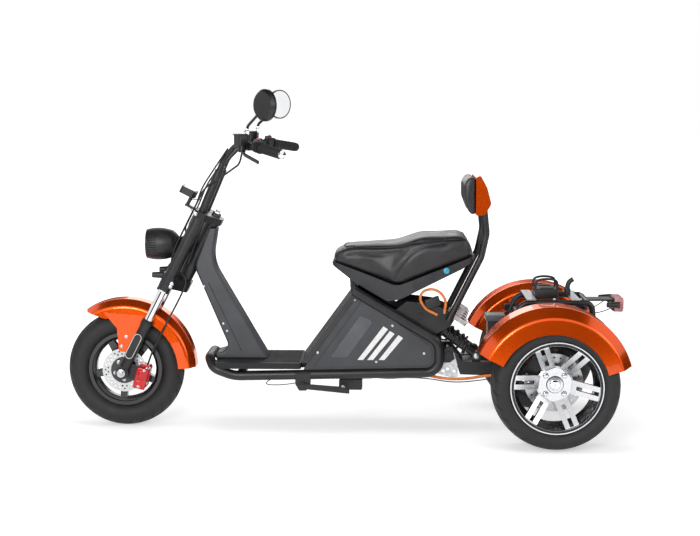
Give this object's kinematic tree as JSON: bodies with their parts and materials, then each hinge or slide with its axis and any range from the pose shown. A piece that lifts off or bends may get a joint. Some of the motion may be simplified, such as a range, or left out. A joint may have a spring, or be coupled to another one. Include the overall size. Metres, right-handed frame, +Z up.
{
  "type": "electric trike",
  "caption": "Electric trike with a step-through floor, raked fork, saddle and backrest, and a rear rack between flared fenders.",
  "frame": {"origin": "on the ground, in the middle of the overall length and width", "axes": "+X forward, +Y to the rider's left, +Z up"},
  "size_m": [2.073, 0.86, 1.2599],
  "materials": {
    "tyre_rubber": "matte",
    "cast_black": "satin",
    "disc_steel": "brushed",
    "machined_alloy": "machined",
    "chrome": "polished",
    "frame_paint": "satin",
    "fork_paint": "satin",
    "orange_paint": "gloss",
    "red_paint": "gloss",
    "lamp_black": "matte",
    "lens_clear": "clear",
    "grip_rubber": "matte",
    "mirror_face": "polished",
    "box_plastic": "matte",
    "cable_black": "satin",
    "column_plastic": "satin",
    "floor_rubber": "matte",
    "battery_case": "matte",
    "stripe_white": "gloss",
    "seat_leather": "satin",
    "grey_paint": "satin",
    "spring_black": "gloss",
    "strap_steel": "brushed",
    "lens_red": "clear",
    "finned_alloy": "bare",
    "cable_orange": "satin",
    "pan_plastic": "satin"
  },
  "bodies": {
    "front_wheel": {"front_tyre": "tyre_rubber", "front_rim": "cast_black", "front_disc": "disc_steel"},
    "rear_wheel_left": {"rear_tyre_left": "tyre_rubber", "rear_rim_left": "machined_alloy", "rear_disc_left": "disc_steel"},
    "rear_wheel_right": {"rear_tyre_right": "tyre_rubber", "rear_rim_right": "machined_alloy", "rear_disc_right": "disc_steel"},
    "steering": {"front_axle": "chrome", "fork_crowns": "frame_paint", "fork_covers": "fork_paint", "fork_stanchions": "chrome", "fork_legs": "fork_paint", "front_fender": "orange_paint", "front_caliper": "red_paint", "headlamp": "lamp_black", "headlamp_lens": "lens_clear", "front_indicators": "lamp_black", "handlebar": "frame_paint", "grips": "grip_rubber", "brake_levers": "frame_paint", "mirrors": "frame_paint", "mirror_glass": "mirror_face", "display": "box_plastic", "brake_hose": "cable_black", "control_cables": "cable_black"},
    "chassis": {"frame_rails": "frame_paint", "frame_stays": "frame_paint", "steering_head": "frame_paint", "column_cover": "column_plastic", "floor_board": "floor_rubber", "cross_bars": "frame_paint", "seat_box": "box_plastic", "battery": "battery_case", "side_panels": "column_plastic", "panel_stripes": "stripe_white", "backrest_frame": "frame_paint", "backrest_shell": "orange_paint", "backrest_pad": "seat_leather", "axle_housing": "grey_paint", "swing_arm": "frame_paint", "shock_dampers": "grey_paint", "shock_springs": "spring_black", "rear_fender_left": "orange_paint", "rear_fender_right": "orange_paint", "carrier": "frame_paint", "luggage_rack": "frame_paint", "rack_straps": "strap_steel", "tail_lamp": "lens_red", "rear_indicators": "lamp_black", "rear_calipers": "grey_paint", "controller": "finned_alloy", "relay_box": "box_plastic", "charge_box": "box_plastic", "power_cable": "cable_orange", "arm_bracket": "strap_steel"},
    "seat": {"seat_cushion": "seat_leather", "seat_pan": "pan_plastic"},
    "side_stand": {"side_stand": "frame_paint"}
  },
  "joints": [
    {"name": "steering", "type": "hinge", "parent": "chassis", "child": "steering", "pos_m": [0.54051, 0, 0.66446], "axis": [-0.454, 0, 0.891], "range_deg": [-35, 35]},
    {"name": "front_wheel", "type": "hinge", "parent": "steering", "child": "front_wheel", "pos_m": [0.8185, 0, 0.218], "axis": [0, 1, 0], "continuous": true},
    {"name": "rear_wheel_left", "type": "hinge", "parent": "chassis", "child": "rear_wheel_left", "pos_m": [-0.7565, 0.332, 0.227], "axis": [0, 1, 0], "continuous": true},
    {"name": "rear_wheel_right", "type": "hinge", "parent": "chassis", "child": "rear_wheel_right", "pos_m": [-0.7565, -0.332, 0.227], "axis": [0, 1, 0], "continuous": true},
    {"name": "seat_hinge", "type": "hinge", "parent": "chassis", "child": "seat", "pos_m": [-0.036, 0, 0.54], "axis": [0, 1, 0], "range_deg": [0, 70]},
    {"name": "side_stand", "type": "hinge", "parent": "chassis", "child": "side_stand", "pos_m": [0.145, 0.155, 0.18], "axis": [0, -1, 0], "range_deg": [0, 105]}
  ]
}
